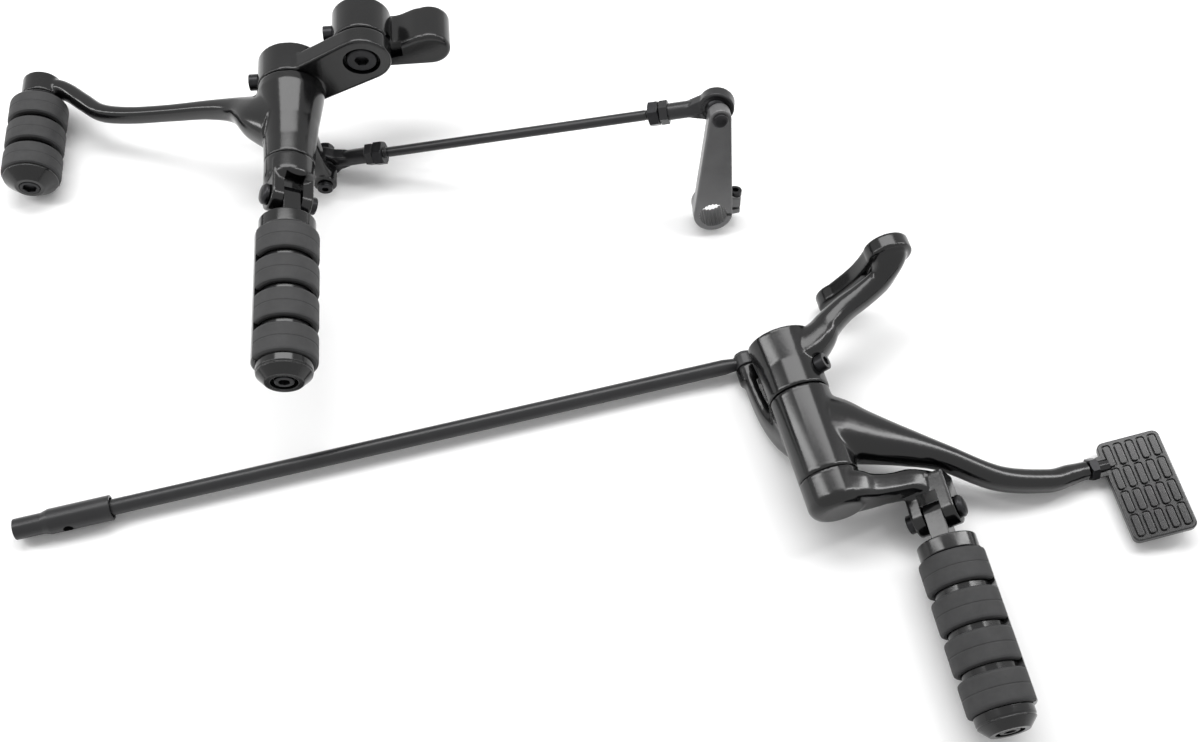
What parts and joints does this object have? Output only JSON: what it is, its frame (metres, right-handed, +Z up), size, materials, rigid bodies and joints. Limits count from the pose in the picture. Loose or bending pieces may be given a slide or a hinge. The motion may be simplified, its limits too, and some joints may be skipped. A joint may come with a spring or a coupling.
{
  "type": "motorcycle forward controls",
  "caption": "Forward foot controls for a motorcycle: a brake side with pedal and long rod, and a shift side with toe lever and ball-jointed linkage, each with a folding rubber-ringed footpeg.",
  "frame": {"origin": "centre of the bounding box's bottom, on the floor that the set lies on", "axes": "+X along the brake rod towards the brake pad, -Y outboard along the brake pivot axle, +Z up from the floor"},
  "size_m": [0.6604, 0.5732, 0.1009],
  "materials": {
    "gloss_black": "gloss black powder coat over cast and forged metal",
    "satin_black": "satin black plated steel",
    "rubber": "matt black moulded rubber",
    "bronze": "plain sintered bronze"
  },
  "bodies": {
    "brackets": {"brake_bracket": "gloss_black", "brake_bracket_screw": "satin_black", "brake_peg_support": "gloss_black", "brake_hinge_pin": "satin_black", "brake_pin_nut": "satin_black", "shift_bracket": "gloss_black", "shift_bracket_screw": "satin_black", "shift_mount_clamp": "gloss_black", "shift_clamp_screw": "satin_black", "shift_mount_bolt": "satin_black", "shift_peg_support": "gloss_black", "shift_hinge_pin": "satin_black", "shift_pin_nut": "satin_black"},
    "brake_footpeg": {"brake_peg_core": "gloss_black", "brake_peg_rubber_1": "rubber", "brake_peg_rubber_2": "rubber", "brake_peg_rubber_3": "rubber", "brake_peg_rubber_4": "rubber", "brake_peg_cap": "gloss_black", "brake_peg_screw": "satin_black"},
    "brake_pedal": {"brake_pedal": "gloss_black", "brake_bush_inner": "bronze", "brake_bush_outer": "bronze", "brake_pad": "gloss_black", "brake_pad_nut": "satin_black", "brake_rod_pin": "satin_black", "brake_pin_clip": "satin_black"},
    "brake_rod": {"brake_rod": "satin_black", "rod_coupler": "satin_black"},
    "shift_footpeg": {"shift_peg_core": "gloss_black", "shift_peg_rubber_1": "rubber", "shift_peg_rubber_2": "rubber", "shift_peg_rubber_3": "rubber", "shift_peg_rubber_4": "rubber", "shift_peg_cap": "gloss_black", "shift_peg_screw": "satin_black"},
    "shift_lever": {"shift_lever": "gloss_black", "shift_bush_inner": "bronze", "shift_bush_outer": "bronze", "toe_peg_sleeve": "gloss_black", "toe_rubber_1": "rubber", "toe_rubber_2": "rubber", "toe_rubber_3": "rubber", "toe_peg_cap": "gloss_black", "toe_peg_bolt": "satin_black", "front_ball_bolt": "satin_black", "front_ball_nut": "satin_black"},
    "front_ball": {"front_ball": "satin_black"},
    "shift_rod": {"front_rod_end": "satin_black", "front_jam_nut": "satin_black", "shift_rod": "satin_black", "rear_jam_nut": "satin_black", "rear_rod_end": "satin_black"},
    "rear_ball": {"rear_ball": "satin_black"},
    "shifter_arm": {"shifter_arm": "satin_black", "shifter_stud": "satin_black", "pinch_bolt": "satin_black"}
  },
  "joints": [
    {"name": "brake_pedal_pivot", "type": "hinge", "parent": "brackets", "child": "brake_pedal", "pos_m": [0.12752, -0.07388, 0.03042], "axis": [0, -1, 0], "range_deg": [-12, 20]},
    {"name": "brake_rod_pivot", "type": "hinge", "parent": "brake_pedal", "child": "brake_rod", "pos_m": [0.10892, -0.03308, 0.00842], "axis": [0, -1, 0], "range_deg": [-30, 10]},
    {"name": "brake_peg_fold", "type": "hinge", "parent": "brackets", "child": "brake_footpeg", "pos_m": [0.18262, -0.16018, 0.01982], "axis": [-0.8469, 0.0444, -0.5299], "range_deg": [0, 80]},
    {"name": "shift_lever_pivot", "type": "hinge", "parent": "brackets", "child": "shift_lever", "pos_m": [-0.12538, 0.20042, 0.06042], "axis": [-0.1633, -0.9866, 0], "range_deg": [-15, 15]},
    {"name": "shift_peg_fold", "type": "hinge", "parent": "brackets", "child": "shift_footpeg", "pos_m": [-0.13959, 0.11763, 0.06042], "axis": [-0.8367, 0.1385, 0.5299], "range_deg": [0, 80]},
    {"name": "front_ball_turn", "type": "hinge", "parent": "shift_lever", "child": "front_ball", "pos_m": [-0.11532, 0.17848, 0.01182], "axis": [-0.1633, -0.9866, 0], "range_deg": [-25, 25]},
    {"name": "front_swivel", "type": "hinge", "parent": "front_ball", "child": "shift_rod", "pos_m": [-0.11532, 0.17848, 0.01182], "axis": [-0.2639, 0.0437, 0.9636], "range_deg": [-7, 7]},
    {"name": "rear_swivel", "type": "hinge", "parent": "shift_rod", "child": "rear_ball", "pos_m": [0.1269, 0.10666, 0.08142], "axis": [0.0753, 0.2838, 0.9559], "range_deg": [-6, 6]},
    {"name": "shifter_arm_turn", "type": "hinge", "parent": "rear_ball", "child": "shifter_arm", "pos_m": [0.1269, 0.10666, 0.08142], "axis": [-0.1562, -0.9435, 0.2924], "range_deg": [-35, 35]}
  ]
}
